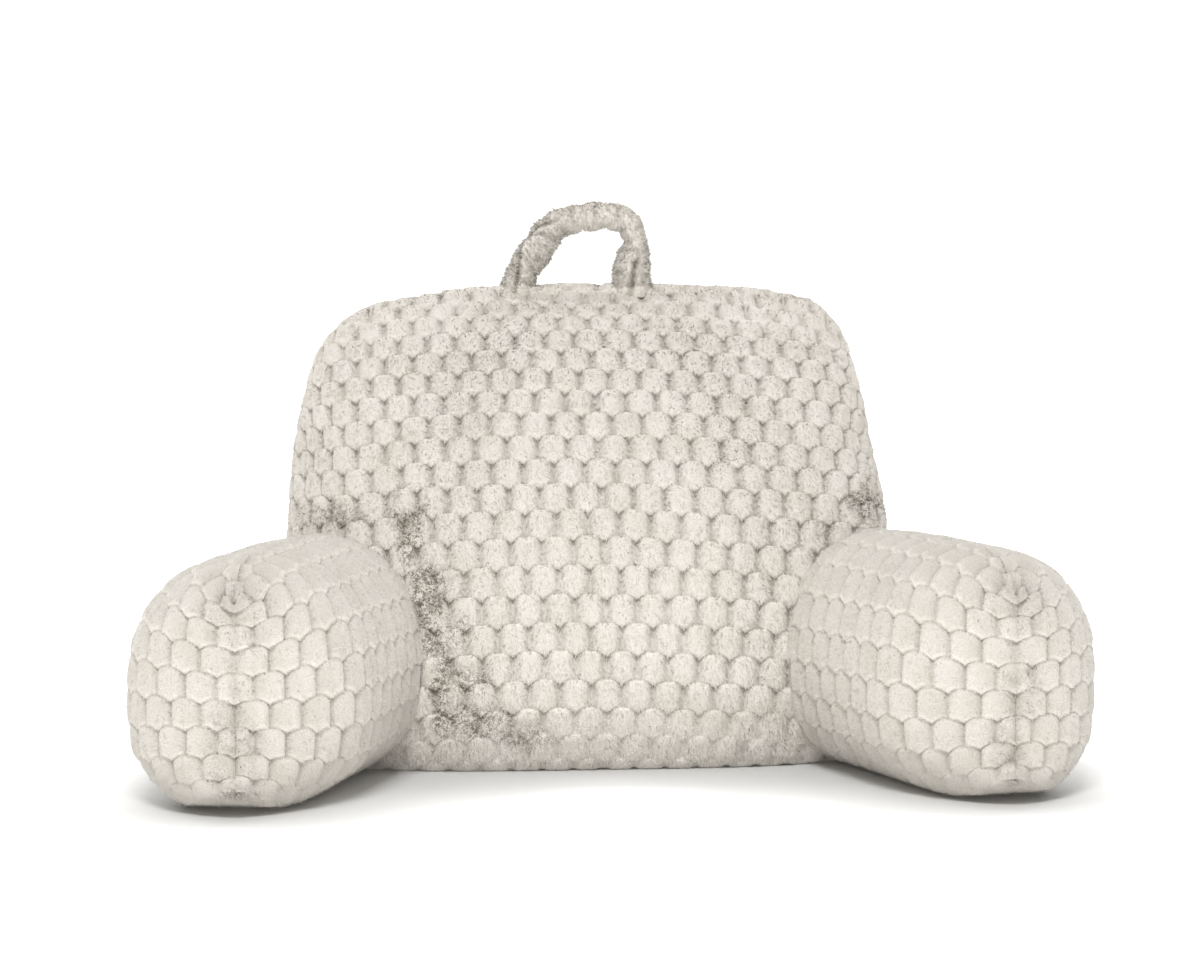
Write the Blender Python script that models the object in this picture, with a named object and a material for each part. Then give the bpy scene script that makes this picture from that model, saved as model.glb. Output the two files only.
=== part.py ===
"""Reading pillow with arms: a filled back rest, two bolster arms and a carry loop, all in plush.

Metres, +Z up. The pillow stands on z = 0 and faces -Y, with the origin under the middle of its box.
"""

import math
from collections import namedtuple

import bmesh
import bpy
import numpy as np

# Driving dimensions, in metres
BACK_WIDTH = 0.502
BACK_HEIGHT = 0.402
BACK_REAR = 0.235  # y of the rear face where it is fullest
BACK_DEPTH = 0.285  # from the rear face to the fullest part of the front
ARM_HEIGHT = 0.200
ARM_THICKNESS = 0.192
ARM_END_ROUND = 0.105  # length of the rounded front end, along the arm
STRAP_THICKNESS = 0.023
STRAP_WIDTH = 0.032
GAP = 0.0003  # between pieces that touch
BACK_POINTS = 48  # points round a section of the back, and the same for the arms and the strap
ARM_POINTS = 40
STRAP_POINTS = 14
SEAM_THICKNESS = 0.006  # thickness of an arm where its two sides meet at the front seam
SEAM_DRAW = 0.004  # how far that seam is drawn into the end of the arm

# Horizontal sections of the back, from the base up. Height is a share of BACK_HEIGHT; left and right are how
# far the section reaches to either side, as shares of BACK_WIDTH, and the left shoulder slopes a little
# more. Front is how far the front face lies ahead of the rear face, and rear how far the rear face is drawn
# in, both as shares of BACK_DEPTH. Power is the outline's: 2 is an ellipse, more is squarer.
BackSection = namedtuple("BackSection", "height left right front rear power")
BACK_SECTIONS = [
    BackSection(0.000, 0.482, 0.468, 0.920, 0.050, 3.6),
    BackSection(0.030, 0.507, 0.493, 0.960, 0.022, 3.4),
    BackSection(0.100, 0.520, 0.508, 0.990, 0.006, 3.2),
    BackSection(0.210, 0.524, 0.516, 1.000, 0.000, 3.1),
    BackSection(0.370, 0.522, 0.518, 0.972, 0.000, 3.1),
    BackSection(0.520, 0.516, 0.512, 0.895, 0.003, 3.1),
    BackSection(0.650, 0.506, 0.498, 0.775, 0.010, 3.0),
    BackSection(0.750, 0.500, 0.490, 0.660, 0.020, 3.0),
    BackSection(0.830, 0.485, 0.480, 0.548, 0.032, 2.9),
    BackSection(0.890, 0.456, 0.468, 0.448, 0.050, 2.8),
    BackSection(0.940, 0.404, 0.440, 0.352, 0.075, 2.7),
    BackSection(0.975, 0.300, 0.388, 0.268, 0.108, 2.4),
    BackSection(0.995, 0.150, 0.190, 0.222, 0.145, 2.2),
    BackSection(1.000, 0.070, 0.085, 0.205, 0.165, 2.0),
]
BACK_STEPS = 3  # rings between two rows of the table

# Upright sections of the right arm, from the rear end, hidden in the back, to the front seam. x and y are
# the middle of the section, turn is the way the arm points there, in degrees from straight ahead towards
# the side; thickness is a share of ARM_THICKNESS and top of ARM_HEIGHT.
ArmSection = namedtuple("ArmSection", "x y turn thickness top")
ARM_SECTIONS = [
    ArmSection(0.160, 0.140, 14.0, 0.80, 0.90),
    ArmSection(0.208, 0.050, 16.0, 0.94, 0.97),
    ArmSection(0.247, -0.045, 18.0, 1.00, 1.00),
    ArmSection(0.276, -0.130, 20.0, 1.00, 1.00),
]
ARM_STEPS = 5
ARM_END_RINGS = 12  # rings of the rounded end
ARM_END_TURN = 22.0  # degrees the arm's end points out to the side
ARM_TOP_POWER = 2.25  # roundness of the section's upper half, as for the back
ARM_INNER_POWER = 2.2  # roundness of the lower half, on the side of the lap
ARM_OUTER_POWER = 3.1  # and on the outside, where the cover's corner is pinched against the ground
BASE_PRESS = 0.005  # how much of the underside is pressed flat
END_DROP = 0.024  # how much lower the top of the arm is at its front seam
END_LIFT = 0.022  # how far the underside rises at the front seam

# The strap's route over the top of the back, seen from the front: x, and height over the top of the back.
# The strap's own size along it is a share of STRAP_THICKNESS, and twist is in degrees about the route.
StrapPoint = namedtuple("StrapPoint", "x rise size twist")
STRAP_ROUTE = [
    StrapPoint(-0.065, -0.024, 1.25, 0.0),
    StrapPoint(-0.053, 0.002, 1.15, 15.0),
    StrapPoint(-0.040, 0.020, 0.95, 70.0),
    StrapPoint(-0.023, 0.039, 1.00, 30.0),
    StrapPoint(0.002, 0.046, 1.05, 0.0),
    StrapPoint(0.025, 0.047, 1.00, 0.0),
    StrapPoint(0.040, 0.041, 0.95, 0.0),
    StrapPoint(0.046, 0.022, 0.95, 0.0),
    StrapPoint(0.045, 0.004, 1.20, 0.0),
    StrapPoint(0.045, -0.024, 1.30, 0.0),
]
STRAP_STEPS = 3
STRAP_Y = BACK_REAR - 0.19 * BACK_DEPTH  # the strap stands over the ridge of the back

PLUSH_COLOUR = (0.76, 0.71, 0.63)


def clear_scene():
    for old in list(bpy.data.objects):
        bpy.data.objects.remove(old, do_unlink=True)


def collection(name):
    made = bpy.data.collections.new(name)
    bpy.context.scene.collection.children.link(made)
    return made


def plush(name):
    """Matt ivory plush."""
    material = bpy.data.materials.new(name)
    material.use_nodes = True
    shader = material.node_tree.nodes["Principled BSDF"]
    shader.inputs["Base Color"].default_value = (*PLUSH_COLOUR, 1.0)
    shader.inputs["Roughness"].default_value = 0.95
    shader.inputs["Metallic"].default_value = 0.0
    return material


def smooth_rows(rows, steps):
    """The table's rows with steps rings from each row to the next, on a Catmull-Rom curve through them."""
    table = np.array(rows, dtype=float)
    padded = np.vstack([2 * table[0] - table[1], table, 2 * table[-1] - table[-2]])
    rings = []
    for i in range(len(table) - 1):
        a, b, c, d = padded[i : i + 4]
        square = 2 * a - 5 * b + 4 * c - d
        cube = 3 * b - a - 3 * c + d
        for t in np.arange(steps) / steps:
            rings.append(b + 0.5 * ((c - a) * t + square * t**2 + cube * t**3))
    rings.append(table[-1])
    return np.array(rings)


def signed_power(values, power):
    """A superellipse's coordinate from a cosine or sine: raised to 2 / power, with its sign kept."""
    return np.sign(values) * np.abs(values) ** (2 / power)


def angles(count):
    return 2 * math.pi * np.arange(count) / count


def loft(name, rings, material, home):
    """A closed solid through rings of points, each an array of shape (points, 3), capped at both ends."""
    mesh = bmesh.new()
    loops = [[mesh.verts.new(point) for point in ring] for ring in rings]
    for below, above in zip(loops, loops[1:], strict=False):
        for i in range(len(below)):
            j = (i + 1) % len(below)
            mesh.faces.new((below[i], below[j], above[j], above[i]))
    mesh.faces.new(loops[0])
    mesh.faces.new(loops[-1])
    bmesh.ops.recalc_face_normals(mesh, faces=mesh.faces)
    data = bpy.data.meshes.new(name)
    mesh.to_mesh(data)
    mesh.free()
    data.materials.append(material)
    data.shade_smooth()
    made = bpy.data.objects.new(name, data)
    home.objects.link(made)
    return made


def back_rings(grow=0.0):
    """Level rings of the back, each a superellipse from its rear to its front, grown by grow all round."""
    angle = angles(BACK_POINTS)
    rings = []
    for height, left, right, front, rear, power in smooth_rows(BACK_SECTIONS, BACK_STEPS):
        across = signed_power(np.cos(angle), power)
        along = signed_power(np.sin(angle), power)
        front_y = BACK_REAR - front * BACK_DEPTH - grow
        rear_y = BACK_REAR - rear * BACK_DEPTH + grow
        x = across * (np.where(across > 0, right, left) * BACK_WIDTH + grow)
        y = (front_y + rear_y) / 2 + along * (rear_y - front_y) / 2
        z = np.full(BACK_POINTS, height * BACK_HEIGHT + (grow if height > 0.5 else -grow))
        rings.append(np.column_stack([x, y, z]))
    return rings


def arm_ring(x, y, turn, half_thickness, top, lift, side):
    """An upright ring across the arm, square to the way it points, with its underside pressed flat."""
    angle = angles(ARM_POINTS)
    base_power = np.where(np.cos(angle) > 0, ARM_OUTER_POWER, ARM_INNER_POWER)
    power = np.where(np.sin(angle) > 0, ARM_TOP_POWER, base_power)
    bottom = lift - BASE_PRESS
    level = (top + bottom) / 2 + signed_power(np.sin(angle), power) * (top - bottom) / 2
    out = signed_power(np.cos(angle), power) * half_thickness
    heading = math.radians(turn)
    sideways = side * (x + out * math.cos(heading))
    return np.column_stack([sideways, y + out * math.sin(heading), np.maximum(level, lift)])


def arm_rings(side):
    """Rings of one arm: the table's length, then an elliptical end that closes on the upright front seam."""
    rings = []
    for x, y, turn, thickness, top in smooth_rows(ARM_SECTIONS, ARM_STEPS):
        rings.append(arm_ring(x, y, turn, thickness * ARM_THICKNESS / 2, top * ARM_HEIGHT, 0.0, side))
    last = ARM_SECTIONS[-1]
    for step in range(1, ARM_END_RINGS + 1):
        angle = math.pi / 2 * step / ARM_END_RINGS
        reach = math.sin(angle)
        ahead = reach * ARM_END_ROUND - (SEAM_DRAW if step == ARM_END_RINGS else 0)
        turn = last.turn + (ARM_END_TURN - last.turn) * reach
        heading = math.radians((last.turn + turn) / 2)
        rings.append(
            arm_ring(
                last.x + math.sin(heading) * ahead,
                last.y - math.cos(heading) * ahead,
                turn,
                max(ARM_THICKNESS / 2 * math.cos(angle), SEAM_THICKNESS / 2),
                ARM_HEIGHT - END_DROP * reach**3,
                END_LIFT * reach**3,
                side,
            )
        )
    return rings


def strap_rings():
    """Rings of the strap: STRAP_THICKNESS by STRAP_WIDTH ellipses, square to the route, turned by twist."""
    route = smooth_rows(STRAP_ROUTE, STRAP_STEPS)
    forward = np.gradient(route[:, :2], axis=0)
    forward /= np.linalg.norm(forward, axis=1)[:, None]
    angle = angles(STRAP_POINTS)
    rings = []
    for (x, rise, size, twist), (along_x, along_z) in zip(route, forward, strict=True):
        turn = math.radians(twist)
        thick = np.cos(angle) * size * STRAP_THICKNESS / 2
        wide = np.sin(angle) * size * STRAP_WIDTH / 2
        radial = thick * math.cos(turn) - wide * math.sin(turn)
        deep = thick * math.sin(turn) + wide * math.cos(turn)
        level = BACK_HEIGHT + rise + along_x * radial
        rings.append(np.column_stack([x - along_z * radial, STRAP_Y + deep, level]))
    return rings


def cut(target, cutter):
    modifier = target.modifiers.new("fit_to_back", "BOOLEAN")
    modifier.operation = "DIFFERENCE"
    modifier.object = cutter


def build():
    clear_scene()
    parts = collection("reading_pillow")
    cutters = collection("cutters")
    loft("back_cushion", back_rings(), plush("back_plush"), parts)
    grown = loft("back_space", back_rings(GAP), plush("space"), cutters)
    grown.hide_render = True
    grown.display_type = "WIRE"
    for name, side in (("arm_left", -1), ("arm_right", 1)):
        arm = loft(name, arm_rings(side), plush(name + "_plush"), parts)
        cut(arm, grown)
    handle = loft("handle", strap_rings(), plush("handle_plush"), parts)
    cut(handle, grown)


build()
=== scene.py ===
# Reading pillow with arms, in ivory plush whose pile is carved into rows of tiles.
# Metres, Z up, the pillow faces -Y. Each cushion is a grid of points: along its length by round its girth.
import math

import bpy
import numpy as np
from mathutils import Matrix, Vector


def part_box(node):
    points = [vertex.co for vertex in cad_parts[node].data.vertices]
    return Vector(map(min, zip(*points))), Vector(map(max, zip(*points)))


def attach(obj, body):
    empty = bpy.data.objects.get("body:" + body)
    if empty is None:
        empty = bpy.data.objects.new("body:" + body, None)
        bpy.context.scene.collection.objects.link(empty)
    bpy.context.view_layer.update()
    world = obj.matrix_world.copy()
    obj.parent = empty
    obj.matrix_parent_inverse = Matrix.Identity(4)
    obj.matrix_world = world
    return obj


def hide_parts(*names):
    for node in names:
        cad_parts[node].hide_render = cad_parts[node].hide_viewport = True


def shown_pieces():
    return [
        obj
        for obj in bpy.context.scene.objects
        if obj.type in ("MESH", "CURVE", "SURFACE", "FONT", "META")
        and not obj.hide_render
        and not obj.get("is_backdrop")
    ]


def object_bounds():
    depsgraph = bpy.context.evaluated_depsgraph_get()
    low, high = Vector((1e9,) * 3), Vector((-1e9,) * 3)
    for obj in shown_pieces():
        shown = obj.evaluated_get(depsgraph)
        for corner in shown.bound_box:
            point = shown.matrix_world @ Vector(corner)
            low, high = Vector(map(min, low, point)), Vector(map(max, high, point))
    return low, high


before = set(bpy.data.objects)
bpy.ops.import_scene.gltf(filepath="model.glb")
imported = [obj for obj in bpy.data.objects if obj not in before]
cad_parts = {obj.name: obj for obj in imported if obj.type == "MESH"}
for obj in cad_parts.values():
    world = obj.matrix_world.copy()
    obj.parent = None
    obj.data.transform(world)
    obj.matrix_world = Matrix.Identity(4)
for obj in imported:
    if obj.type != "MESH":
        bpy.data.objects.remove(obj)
cadBounds = [list(corner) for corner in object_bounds()]
lowCorner, highCorner = np.array(cadBounds[0]), np.array(cadBounds[1])
scene = bpy.context.scene
print("frame loaded")

# ---- plush: sizes in metres of the carved pile, and its colours
plush = {
    "tileWidth": 0.0252,  # across a tile
    "rowPitch": 0.0231,  # from one row of tiles to the next
    "shoulder": 0.095,  # how far a tile's top stands over its shoulders, half of it, as a share of rowPitch
    "flatTop": 0.47,  # share of a tile's width that is level at its top
    "depth": 0.0056,  # of the carved grooves
    "topRound": 0.0018,  # width of the slope at a tile's top edge
    "footRound": 0.0024,  # and at its foot
    "grooveFloor": 0.16,  # how high the pile still stands in a groove
    "darkGroove": 0.0034,  # how far from a groove's middle the painted shade still reaches
    "darkPit": (0.0028, 0.0030),  # the same for the painted shade in the pit at its head, across and down
    "wander": 0.0012,  # how far the rows stray from straight
    "wanderLength": 0.05,  # from one stray to the next
    "rowShares": [0, 0.03, 0.09, 0.20, 0.45, 0.75, 0.91, 0.97],  # grid lines in a row of tiles
    "fineShares": [0, 0.13, 0.36, 0.64, 0.87],  # grid lines in half a tile's width
    "coarseShares": [0, 0.14, 0.86],  # the same where the cushion is seen less
    "leastGap": 0.0006,  # between a grid's last two lines
    "inset": 0.0112,  # from the cushion's outside to the backing cloth before it is blown up
    "swell": 0.0050,  # the most that the filling pushes the backing out
    "ground": 0.0004,  # no lower than this above what the pillow stands on
    "ribPitch": 0.0023,  # the knit's ribs, which the pile lies along
    "pileWidth": 0.0010,  # of a tuft at its root
    "pileSink": 0.0013,  # how deep a tuft's root lies in the surface
}
colours = {
    "pile": "E4DFD7",
    "pileWarm": "DAD3C8",
    # painted shade colour: the pile is mixed towards it in grooves, pits, creases and tangled patches
    "grooveShade": "857D71",
    "floor": "D9D9D8",
}


def linearColour(hexCode):
    # sRGB hex to linear: c / 12.92 under 0.04045, else ((c + 0.055) / 1.055) ** 2.4
    c = np.array([int(hexCode[i : i + 2], 16) for i in (0, 2, 4)]) / 255
    return (*np.where(c <= 0.04045, c / 12.92, ((c + 0.055) / 1.055) ** 2.4), 1.0)


def perMetre(millimetres):
    # the scale of a texture whose features are this far apart, on coordinates in metres
    return 1000 / millimetres


def addNode(tree, kind, settings=None, inputs=None):
    # one node, its settings, and its inputs as values or as links from sockets
    made = tree.nodes.new(kind)
    for name, value in (settings or {}).items():
        setattr(made, name, value)
    for name, value in (inputs or {}).items():
        if isinstance(value, bpy.types.NodeSocket):
            tree.links.new(value, made.inputs[name])
        else:
            made.inputs[name].default_value = value
    return made


# ---- arithmetic on grids
def rowsAt(table, at):
    # Catmull-Rom: a smooth curve through the table's rows, read at fractional row numbers
    padded = np.concatenate([[2 * table[0] - table[1]], table, [2 * table[-1] - table[-2]]])
    i = np.clip(np.floor(at).astype(int), 0, len(table) - 2)
    t = (at - i)[..., None]
    a, b, c, d = (padded[i + k] for k in range(4))
    return b + 0.5 * ((c - a) * t + (2 * a - 5 * b + 4 * c - d) * t**2 + (3 * b - a - 3 * c + d) * t**3)


def signedPower(values, power):
    # superellipse coordinate: a cosine or sine raised to 2 / power with its sign kept
    return np.sign(values) * np.abs(values) ** (2 / power)


def smoothStep(low, high, x):
    # 0 at low, 1 at high, and 3 t^2 - 2 t^3 between; low may be the larger
    t = np.clip((x - low) / (high - low), 0, 1)
    return t * t * (3 - 2 * t)


def unit(vectors):
    # each vector divided by its length
    return vectors / np.maximum(np.linalg.norm(vectors, axis=-1, keepdims=True), 1e-12)


def lengthAlong(points, axis):
    # distance walked along one axis of a grid of points, starting from 0
    steps = np.linalg.norm(np.diff(points, axis=axis), axis=-1)
    walked = np.cumsum(steps, axis=axis)
    return np.concatenate([np.zeros_like(np.take(walked, [0], axis=axis)), walked], axis=axis)


def columnsAt(table, at):
    # each column of the table read at its own fractional row numbers, by straight lines between rows
    i = np.clip(np.floor(at).astype(int), 0, len(table) - 2)
    f, column = at - i, np.arange(table.shape[1])
    return table[i, column] * (1 - f) + table[i + 1, column] * f


def reached(line, near, wholes):
    # grid lines as distances: true up to near, or to 60% of the whole; beyond, stretched to end at the whole
    whole = wholes[:, None]
    true = np.minimum(near, 0.6 * whole)
    beyond = true + (line - true) * (whole - true) / (line.max() - true)
    return np.where(line <= true, line, beyond)


def scramble(i, j, seed):
    # a repeatable number from 0 to 1 for each pair of whole numbers
    x = np.sin(i * 12.9898 + j * 78.233 + seed * 37.719) * 43758.5453  # any large unround factors will do
    return x - np.floor(x)


def softNoise(x, y, seed):
    # value noise: scrambled numbers at whole places, blended with a smooth step between them, -1 to 1
    i, j = np.floor(x), np.floor(y)
    u, v = smoothStep(0, 1, x - i), smoothStep(0, 1, y - j)
    low = scramble(i, j, seed) * (1 - u) + scramble(i + 1, j, seed) * u
    high = scramble(i, j + 1, seed) * (1 - u) + scramble(i + 1, j + 1, seed) * u
    return (low * (1 - v) + high * v) * 2 - 1


def gridNormals(points, centreLine):
    # cross product of the steps round and along the grid, turned to face away from the middle
    around = np.roll(points, -1, axis=1) - np.roll(points, 1, axis=1)
    along = np.gradient(points, axis=0)
    normals = unit(np.cross(around, along))
    outward = np.sum(normals * (points - centreLine), axis=-1).mean()
    return normals if outward > 0 else -normals


# ---- the carved pile
def acrossTile(s, row):
    # distance from the middle of the tile that s falls in, where every other row is shifted by half a tile
    shifted = s - ((row + 1) % 2) * plush["tileWidth"] / 2
    return shifted - np.round(shifted / plush["tileWidth"]) * plush["tileWidth"]


def edgeAbove(s, row):
    # the line between a row of tiles and the next: level over a tile's middle, sloping down its shoulders
    across = np.abs(acrossTile(s, row)) / (plush["tileWidth"] / 2)
    fall = (across - plush["flatTop"]) / (1 - plush["flatTop"])
    fall = smoothStep(-0.1, 1.0, fall) * 0.2 + np.clip(fall, 0, 1) * 0.8
    return plush["rowPitch"] * (row + 0.5 + plush["shoulder"] * (1 - 2 * fall))


def gridLine(place, s):
    # height up the cloth of a grid line, which keeps its share of the way from one tile edge to the next
    row = np.floor(place)
    low = edgeAbove(s, row - 1)
    return low + (place - row) * (edgeAbove(s, row) - low)


def gridPlaces(low, high):
    # places of the grid lines between two heights, each a row of tiles plus a share of it
    pitch, gap = plush["rowPitch"], plush["leastGap"]
    rows = np.arange(math.floor(low / pitch) - 1, math.ceil(high / pitch) + 2)
    places = (rows[:, None] + np.array(plush["rowShares"])).ravel()
    heights = (places - 0.5) * pitch
    inside = places[(heights > low + gap) & (heights < high - gap)]
    return np.concatenate([[low / pitch + 0.5], inside, [high / pitch + 0.5]])


def gridColumns(near, far):
    # grid lines across the cloth from 0 to far, close together up to near
    half = plush["tileWidth"] / 2
    fine = (np.arange(int(near / half))[:, None] + np.array(plush["fineShares"])).ravel() * half
    coarse = np.arange(int(near / half), math.ceil(far / half))[:, None] + np.array(plush["coarseShares"])
    lines = np.concatenate([fine, coarse.ravel() * half])
    return np.concatenate([lines[lines < far - plush["leastGap"]], [far]])


def tileRow(s, t):
    # which row of tiles the cloth place (s, t) is in
    row = np.round(t / plush["rowPitch"])
    row = row + (t > edgeAbove(s, row))
    return row - (t < edgeAbove(s, row - 1))


def tileColumn(s, row):
    # the number of a tile in its row, in half tiles
    return np.round((s - acrossTile(s, row)) / (plush["tileWidth"] / 2))


def outward(s):
    # which way the nap lies: away from the middle of the front
    return np.where(s < 0, -1, 1)


def tilePile(s, t, shape):
    # Height of the pile, 0 to 1, at cloth place (s, t): soft slopes to a tile's two sides, a quarter circle at
    # its foot that is cut deepest at the tip, a low crown, and a quick rise at its top from the groove above.
    # A tile's foot fits between the next tops. Where the nap lies sideways, the far side stands up.
    width, pitch, lean = plush["tileWidth"], plush["rowPitch"], shape["lean"]

    def rounding(distance, reach):
        return np.sqrt(1 - (1 - np.clip(distance / reach, 0, 1)) ** 2)

    row = tileRow(s, t)
    x = acrossTile(s, row)
    column = tileColumn(s, row)
    way = outward(s)
    reach = shape["sideRound"] * (0.85 + 0.3 * scramble(column, row, 3))

    def sides(x):
        near = smoothStep(0, reach * (1 + 0.5 * lean), width / 2 + x * way)
        return near * smoothStep(0, reach * (1 - 0.6 * lean), width / 2 - x * way)

    def cut(fromTip):
        return smoothStep(0.0100, 0.0015, fromTip)

    rise, across = (t - row * pitch) / (pitch / 2), x / (width / 2)
    crown = 1 - 0.12 * rise**2 - 0.10 * across**2 - 0.06 * rise + 0.30 * lean * (across * way - 1)
    tipped, raised = 0.10 * (scramble(column, row, 5) - 0.5), 0.14 * (scramble(column, row, 7) - 0.5)
    crown = crown + tipped * across + raised
    foot = 1 - cut(np.abs(x)) * (1 - rounding(t - edgeAbove(s, row - 1), plush["footRound"]))
    above = sides(x - np.sign(x) * width / 2) * (1 - cut(width / 2 - np.abs(x)))
    top = rounding(edgeAbove(s, row) - t, plush["topRound"])
    pile = (sides(x) * foot * top + above * (1 - top)) * crown
    return plush["grooveFloor"] + (1 - plush["grooveFloor"]) * pile


def paintedGrooveShade(s, t, crushed, shape):
    # painted shade: how much darker the pile is painted deep down: a little in the upright grooves, most in the pit
    # at the head of each, under the foot of the tile above; and where the nap lies sideways, a painted shadow along
    # a tile's near side
    row = tileRow(s, t)
    x, lean = acrossTile(s, row), shape["lean"]
    fromSide = plush["tileWidth"] / 2 - np.abs(x)
    under = edgeAbove(s, row) - t
    pitAcross, pitDown = plush["darkPit"]
    grooveShade = np.exp(-((fromSide / plush["darkGroove"]) ** 2))
    pit = np.exp(-((fromSide / pitAcross) ** 2) - (under / pitDown) ** 2)
    fromNear = plush["tileWidth"] / 2 + x * outward(s)
    shadow = 0.20 * lean * np.exp(-(((fromNear - 0.0006) / 0.0024) ** 2))
    shadow = shadow * smoothStep(0.0, 0.004, np.abs(s)) + 0.14 * lean * smoothStep(0.020, 0.002, fromNear)
    return (shape["paintedGrooveShade"] * grooveShade + shape["paintedPitShade"] * pit + shadow) * crushed


def paintedEdgeHighlight(s, t, shape):
    # painted highlight: 1 on the edges that are painted brightest: along a tile's level top, or where the nap lies
    # sideways, along its far side and its foot
    def band(distance, middle, reach):
        return np.exp(-(((distance - middle) / reach) ** 2))

    row = tileRow(s, t)
    x = acrossTile(s, row)
    fromTop, fromFoot = edgeAbove(s, row) - t, t - edgeAbove(s, row - 1)
    fromFar = plush["tileWidth"] / 2 - x * outward(s)
    top = band(fromTop, 0.0011, 0.0011) * smoothStep(0.0085, 0.0050, np.abs(x))
    side = np.maximum(band(fromFar, 0.0024, 0.0016), 0.9 * band(fromFoot, 0.0019, 0.0015))
    return top * (1 - shape["lean"]) + side * shape["lean"]


def crumpled(a, b, wide, tall, seed):
    # folds of crushed pile: soft noise and finer soft noise, each with its own sizes across and up
    coarse = softNoise(a / wide[0], b / tall[0], seed)
    return coarse * 0.6 + softNoise(a / wide[1], b / tall[1], seed + 2) * 0.4


def strayed(points, s, t, free):
    # the grid nudged along the cloth by soft noise where it is free, so that rows of tiles aren't ruled lines
    around = unit(np.roll(points, -1, axis=1) - np.roll(points, 1, axis=1))
    along = unit(np.gradient(points, axis=0))
    u, v = s[:, :-1] / plush["wanderLength"], t[:, :-1] / plush["wanderLength"]
    moved = around * softNoise(u, v, 1)[..., None] + along * softNoise(u, v, 2)[..., None]
    return points + plush["wander"] * free[..., None] * moved


# ---- meshes
def meshPiece(name, points, corners, sizes, maps, values, material):
    # a mesh from numpy arrays: corner indices face by face, maps per corner, values per point
    mesh = bpy.data.meshes.new(name)
    mesh.vertices.add(len(points))
    mesh.vertices.foreach_set("co", points.astype(np.float32).ravel())
    mesh.loops.add(len(corners))
    mesh.loops.foreach_set("vertex_index", corners.astype(np.int32))
    mesh.polygons.add(len(sizes))
    mesh.polygons.foreach_set("loop_start", (np.cumsum(sizes) - sizes).astype(np.int32))
    mesh.update(calc_edges=True)
    mesh.validate()
    for mapName, uv in maps.items():
        mesh.uv_layers.new(name=mapName).uv.foreach_set("vector", uv.astype(np.float32).ravel())
    for valueName, value in values.items():
        layer = mesh.attributes.new(valueName, "FLOAT", "POINT")
        layer.data.foreach_set("value", value.astype(np.float32))
    mesh.materials.append(material)
    mesh.shade_smooth()
    if sizes.max() > 4:  # the flat faces over a grid's ends
        mesh.polygons.foreach_set("use_smooth", sizes <= 4)
    made = bpy.data.objects.new(name, mesh)
    scene.collection.objects.link(made)
    return made


def closedGrid(points):
    # faces of a grid that closes round its girth, with one flat face over each end
    rows, columns = points.shape[:2]
    i, j = np.meshgrid(np.arange(rows - 1), np.arange(columns), indexing="ij")
    k = (j + 1) % columns
    quads = np.stack([i * columns + j, i * columns + k, (i + 1) * columns + k, (i + 1) * columns + j], -1)
    start = np.arange(columns)[::-1]
    end = (rows - 1) * columns + np.arange(columns)
    corners = np.concatenate([quads.ravel(), start, end])
    sizes = np.concatenate([np.full(quads.shape[0] * quads.shape[1], 4), [columns, columns]])
    middle = points.mean(axis=(0, 1))
    a, b, d = points[rows // 2, 0], points[rows // 2, 1], points[rows // 2 + 1, 0]
    if np.dot(np.cross(b - a, d - a), a - middle) < 0:
        starts = np.cumsum(sizes) - sizes
        corners = np.concatenate([corners[p : p + n][::-1] for p, n in zip(starts[-2:], sizes[-2:])])
        corners = np.concatenate([quads[..., ::-1].ravel(), corners])
    return corners, sizes


def bakeSpot(across, up):
    # place in the map that holds the baked colours, from shares of the way round and along a grid
    return np.column_stack([0.01 + 0.93 * across, 0.01 + 0.98 * up])


def cornerMaps(corners, sizes, s, t, shape):
    # the fabric map, in metres, and the map that holds the baked colours, both per corner; a cap's corners go
    # on a small circle beside the rest
    rows, columns = shape
    i, j = corners // columns, corners % columns
    face = np.repeat(np.arange(len(sizes)), sizes)
    first = np.minimum.reduceat(j, np.cumsum(sizes) - sizes)[face]
    last = np.maximum.reduceat(j, np.cumsum(sizes) - sizes)[face]
    wraps = (j == 0) & (last == columns - 1) & (first == 0) & (sizes[face] == 4)
    j = np.where(wraps, columns, j)
    fabric = np.column_stack([s[i, j], t[i, j]])
    bake = bakeSpot(j / columns, i / (rows - 1))
    capped = sizes[face] > 4
    bake[capped] = [0.97, 0.5] + 0.02 * np.column_stack([np.cos(j[capped]), np.sin(j[capped])])
    return {"fabric": fabric, "OFBake": bake}


filling = {
    "frames": 20,
    "cloth": {
        "quality": 6,
        "mass": 0.25,
        "tension_stiffness": 12,
        "compression_stiffness": 12,
        "shear_stiffness": 4,
        "bending_stiffness": 0.4,
        "use_pressure": True,
        "vertex_group_mass": "seams",
    },
}


def swollen(points, pinned, pressure):
    # The filling: cloth pinned at its seams and blown up. Returns how far each point moved.
    corners, sizes = closedGrid(points)
    made = meshPiece("filling", points.reshape(-1, 3), corners, sizes, {}, {}, bpy.data.materials.new("bare"))
    group = made.vertex_groups.new(name="seams")
    group.add(np.flatnonzero(np.broadcast_to(pinned, points.shape[:2])).tolist(), 1.0, "REPLACE")
    cloth = made.modifiers.new("fill", "CLOTH")
    for setting, value in filling["cloth"].items():
        setattr(cloth.settings, setting, value)
    cloth.settings.uniform_pressure_force = pressure
    cloth.settings.effector_weights.gravity = 0
    cloth.point_cache.frame_end = filling["frames"] + 4
    for step in range(1, filling["frames"] + 1):
        scene.frame_set(step)
    blown = made.evaluated_get(bpy.context.evaluated_depsgraph_get()).data
    found = np.empty(len(blown.vertices) * 3, np.float32)
    blown.vertices.foreach_get("co", found)
    data = made.data
    bpy.data.objects.remove(made, do_unlink=True)
    bpy.data.meshes.remove(data)
    scene.frame_set(1)
    moved = found.reshape(points.shape) - points
    far = np.linalg.norm(moved, axis=-1, keepdims=True)
    return moved * np.minimum(1, plush["swell"] / np.maximum(far, 1e-9))


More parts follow.
